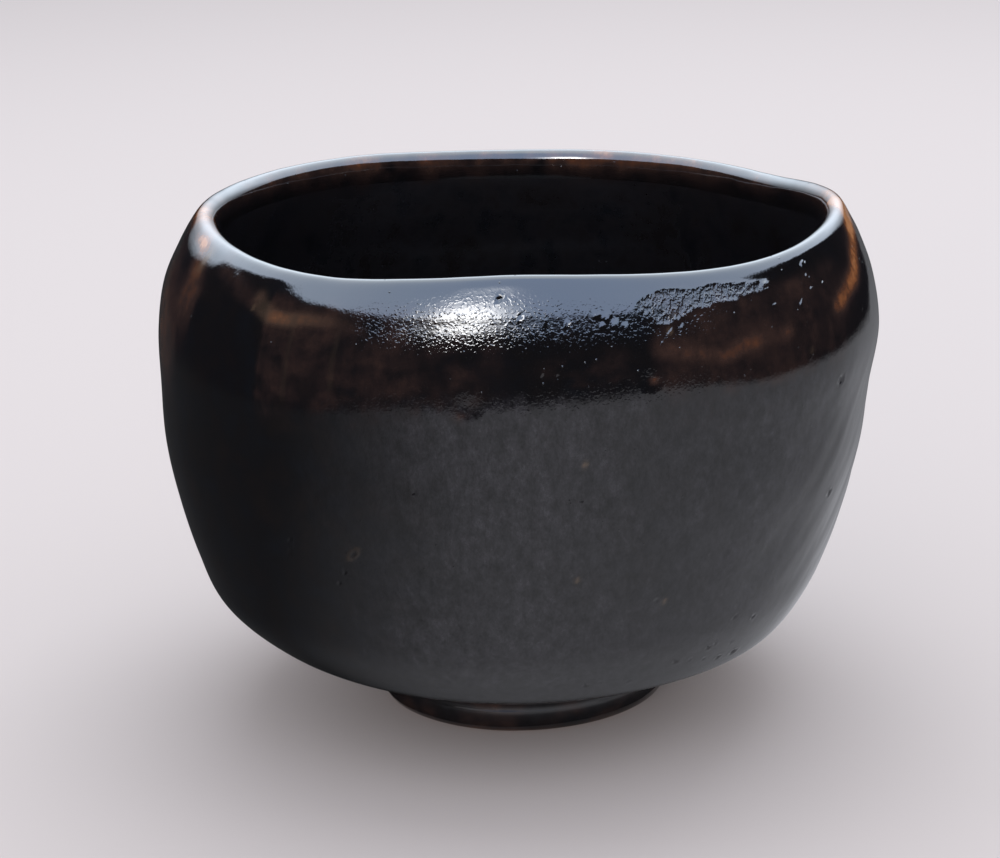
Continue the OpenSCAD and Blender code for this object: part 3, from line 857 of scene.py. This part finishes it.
well_prof = np.vstack([
    smooth_profile([(0.35, 3.66), (1.6, 3.89), (4.2, 4.64), (6.4, 4.94), (11.0, 4.94), (16.5, 4.92), (17.75, 4.14), (18.2, 2.0), (18.4, 0.85)], 0.45)[::-1],
    smooth_profile([(0.35, 3.22), (1.7, 3.46), (4.3, 4.22), (6.5, 4.52), (11.0, 4.52), (16.3, 4.5), (17.3, 3.9), (17.8, 2.0), (18.1, 0.8)], 0.45)])
foot_well = lathe("foot_glaze_inner", well_prof[::-1], 300, M_FOOT, seat_shift, foot_wob,
                  {"amber": lambda A, P: np.clip(0.12 + 0.3 * fbm(P, 6, 52), 0, 1), "pale": 0.0, "dry": 0.1, "grain": 0.25, "haze": 0.3})

for ob in (outer, lip, inner, foot_clay, foot_coat, foot_well):
    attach(ob, "root")
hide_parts("outer_glaze")
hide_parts("lip_glaze")
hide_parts("inner_glaze")
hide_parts("foot_ring")
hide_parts("foot_glaze")
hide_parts("foot_glaze")

# the clay wall keeps its CAD shape; it hardly shows, but has its own finish
for ob in scene.objects:
    if ob.type == "MESH" and ob.name.split(".")[0] == "clay_body":
        for s in ob.material_slots:
            s.material = M_CLAY

# ----------------------------------------------------------------------------
# Floor, light and camera
# ----------------------------------------------------------------------------
FLOOR = (0.62, 0.595, 0.605)
ROOM, ROOM_POWER, KEY_POWER, FILL_POWER = (0.94, 0.93, 0.96), 0.90, 4.9, 5.4


def gloss_only(ob):
    ob.visible_diffuse = ob.visible_camera = ob.visible_shadow = False
    ob.visible_transmission = ob.visible_volume_scatter = False


def light_card(name, verts, faces, rgb):
    """a big soft card that is only seen in reflections; its brightness is painted per corner"""
    me = bpy.data.meshes.new(name)
    me.from_pydata([tuple(map(float, v)) for v in verts], [], [tuple(int(i) for i in f) for f in faces])
    at = me.attributes.new("glow", "FLOAT_VECTOR", "POINT")
    at.data.foreach_set("vector", np.ascontiguousarray(rgb, dtype=np.float32).reshape(-1))
    m, t = mat(name + "_paint")
    o = t.nodes.new("ShaderNodeOutputMaterial")
    e = t.nodes.new("ShaderNodeEmission")
    link(t, node(t, "ShaderNodeAttribute", attribute_name="glow").outputs["Color"], e.inputs["Color"])
    link(t, e.outputs[0], o.inputs[0])
    m.cycles.emission_sampling = "NONE"
    me.materials.append(m)
    ob = bpy.data.objects.new(name, me)
    scene.collection.objects.link(ob)
    gloss_only(ob)
    return ob


def polar(azs, rs, pos):
    """points at every bearing and ring, with faces between them; 0 is towards the guest, + to the right"""
    A, R = np.meshgrid(azs, rs)
    V = pos(A, R)
    n, c = len(rs), len(azs)
    i = np.arange(n * c).reshape(n, c)
    f = np.stack([i[:-1, :-1], i[:-1, 1:], i[1:, 1:], i[1:, :-1]], -1).reshape(-1, 4)
    return A, R, V.reshape(-1, 3), f


# the floor
fm, ft = mat("floor_plain")
fo = ft.nodes.new("ShaderNodeOutputMaterial")
fp = ft.nodes.new("ShaderNodeBsdfPrincipled")
link(ft, fp.outputs[0], fo.inputs[0])
fp.inputs["Base Color"].default_value = (*FLOOR, 1)
fp.inputs["Roughness"].default_value = 0.9
fp.inputs["Specular IOR Level"].default_value = 0.0
S = 6.0
fme = bpy.data.meshes.new("floor")
fme.from_pydata([(-S, -S, 0), (S, -S, 0), (S, S, 0), (-S, S, 0)], [], [(0, 1, 2, 3)])
fme.materials.append(fm)
floor = bpy.data.objects.new("floor", fme)
scene.collection.objects.link(floor)

# painted reflection for the lower wall: a glowing card seen only in reflections, a plain pale sweep in front and to the
# right, fading to the left
def sheen(A):
    return 0.03 + 0.50 * soft(-75, 5, A) * (1 - soft(110, 175, A))


azs = np.linspace(-180, 180, 181)
rs = np.concatenate([np.linspace(0.024, 0.32, 48), [0.36, 0.45, 0.7, 1.2, 2.4]])
A, R, V, F = polar(azs, rs, lambda A, R: np.stack([R * np.sin(np.radians(A)), -R * np.cos(np.radians(A)), np.full_like(R, 0.0004)], -1))
# painted shade in that reflection, darker close to the foot
rad = sheen(A) * soft(0.020, 0.055, R) + 0.004
light_card("floor_sheen", V, F, rad.reshape(-1, 1) * np.array([[0.96, 0.97, 1.04]]))


# one overhead soft dome, cooler and dimmer in front, and one round soft key from the front left: a painted reflection
# of studio lights on a card seen only in reflections, the key a painted highlight
def sky_at(A, E):
    """colour of the soft dome at a bearing and an elevation, both in degrees"""
    back = (0.5 - 0.5 * np.cos(np.radians(A)))[..., None]
    tone = np.array([2.4, 3.1, 4.5]) * (1 - back) + np.array([4.0, 4.5, 5.1]) * back
    tone = tone * (0.15 + 0.85 * soft(4, 34, E))[..., None]
    key = np.exp(-((A + 25) / 10) ** 2 - ((E - 38) / 7) ** 2)[..., None]
    return tone + 34 * key * np.array([1.0, 0.98, 0.95])


els = np.linspace(2, 90, 60)
A, E, V, F = polar(np.linspace(-180, 180, 361), els,
                   lambda A, E: 1.6 * np.stack([np.sin(np.radians(A)) * np.cos(np.radians(E)), -np.cos(np.radians(A)) * np.cos(np.radians(E)), np.sin(np.radians(E))], -1))
light_card("softboxes", V, F, sky_at(A, E).reshape(-1, 3))

# plain black flag round the set, level in front and lower at the back; its foot stands clear of the floor in front. It
# is seen only in reflections, where it paints the dark; its lower and upper edges are painted to fade into the floor
# reflection and the dome
fa = np.linspace(-180, 180, 721)
side = np.abs(fa)
top = (80 + 210 * (1 - soft(85, 150, side))) * MM
bot = (36 * (1 - soft(35, 65, side)) + 50 * soft(130, 150, side) - 1) * MM
ring = lambda z: np.stack([0.34 * np.sin(np.radians(fa)), -0.34 * np.cos(np.radians(fa)), z], -1)
edge = 20 * MM
FV = np.concatenate([ring(bot), ring(bot + edge), ring(top), ring(top + edge)])
i = np.arange(4 * len(fa)).reshape(4, -1)
FF = np.stack([i[:-1, :-1], i[:-1, 1:], i[1:, 1:], i[1:, :-1]], -1).reshape(-1, 4)
DARK = np.array([0.016, 0.015, 0.019])
below = sheen(fa)[:, None] * np.array([0.96, 0.97, 1.04])
above = sky_at(fa, np.degrees(np.arctan2(top + edge - 0.077, 0.29)))
light_card("flag", FV, FF, np.concatenate([below, np.tile(DARK, (len(fa), 1)), np.tile(DARK, (len(fa), 1)), above]))

# plain pale room for everything else
w = bpy.data.worlds.new("studio")
scene.world = w
w.use_nodes = True
wt = w.node_tree
wt.nodes.clear()
wo = wt.nodes.new("ShaderNodeOutputWorld")
bg1 = wt.nodes.new("ShaderNodeBackground")
bg1.inputs["Color"].default_value = (*ROOM, 1)
bg1.inputs["Strength"].default_value = ROOM_POWER
link(wt, bg1.outputs[0], wo.inputs[0])


def area(name, loc, target, size, power, colour, glossy=False):
    L = bpy.data.lights.new(name, "AREA")
    L.shape = "RECTANGLE"
    L.size, L.size_y = size
    L.energy = power
    L.color = colour
    o = bpy.data.objects.new(name, L)
    scene.collection.objects.link(o)
    o.location = loc
    o.rotation_euler = (Vector(target) - Vector(loc)).to_track_quat("-Z", "Y").to_euler()
    o.visible_camera = False
    o.visible_glossy = glossy
    return o


area("soft_top", (0.1, 0.36, 0.90), (0, 0, 0.03), (0.9, 0.9), KEY_POWER, (0.97, 0.98, 1.0))
area("front_fill", (-0.25, -1.1, 0.22), (0, 0, 0.0), (0.9, 0.35), FILL_POWER, (1.0, 0.82, 0.72))

cam = bpy.data.cameras.new("camera")
cam.sensor_width = 36.0
cam.lens = 93.6
cam.clip_start = 0.01
cam.clip_end = 50
cobj = bpy.data.objects.new("camera", cam)
scene.collection.objects.link(cobj)
pitch, roll = math.radians(16.85), math.radians(2.145)
R = Vector((1, 0, 0))
U = Vector((0, math.sin(pitch), math.cos(pitch)))
F = Vector((0, math.cos(pitch), -math.sin(pitch)))
X = R * math.cos(roll) - U * math.sin(roll)
Y = R * math.sin(roll) + U * math.cos(roll)
cobj.matrix_world = Matrix(((X.x, Y.x, -F.x, -0.0030), (X.y, Y.y, -F.y, -0.4039), (X.z, Y.z, -F.z, 0.1658), (0, 0, 0, 1)))
scene.camera = cobj

scene.view_settings.view_transform = "Standard"
scene.view_settings.look = "None"
scene.cycles.use_denoising = True
